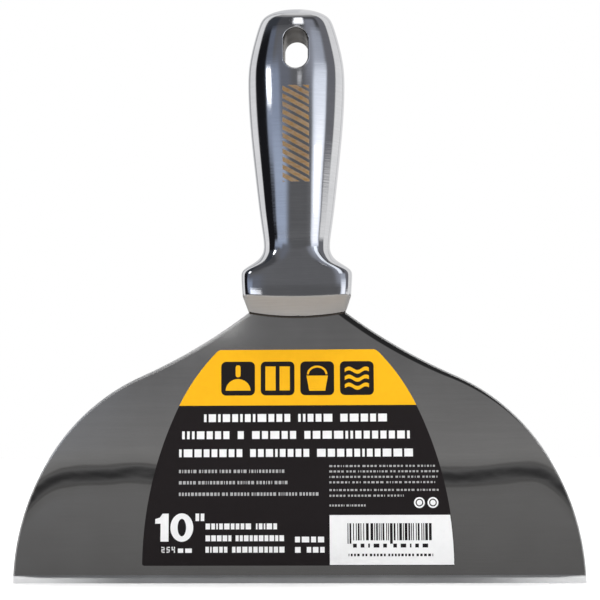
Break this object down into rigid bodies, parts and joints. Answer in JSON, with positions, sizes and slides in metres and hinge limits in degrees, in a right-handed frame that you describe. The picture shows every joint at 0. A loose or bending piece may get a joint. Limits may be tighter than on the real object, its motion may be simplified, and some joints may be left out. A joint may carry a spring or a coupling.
{
  "type": "drywall taping knife",
  "caption": "Stainless drywall taping knife: wide taper-ground blade with a full tang welded between two hollow polished handle halves, with a flared collar and an oblong hang hole.",
  "frame": {"origin": "middle of the working edge, with Z = 0 at the edge and Y = 0 at the middle of the tang", "axes": "+X along the working edge, +Z from the edge up to the butt of the handle, +Y square to the blade, away from the labelled front"},
  "size_m": [0.254, 0.0264, 0.261],
  "materials": {
    "blade_steel": "fine satin, taper ground toward the edge",
    "handle_steel": "polished, with faint cross brushing",
    "sleeve_steel": "satin tube",
    "weld_steel": "ground weld bead",
    "label_film": "printed film, amber above and black below"
  },
  "bodies": {
    "root": {"blade": "blade_steel", "front_handle_shell": "handle_steel", "rear_handle_shell": "handle_steel", "tang_seam_weld": "handle_steel", "hang_hole_sleeve": "sleeve_steel", "front_collar_weld": "weld_steel", "rear_collar_weld": "weld_steel", "label": "label_film"}
  },
  "joints": []
}
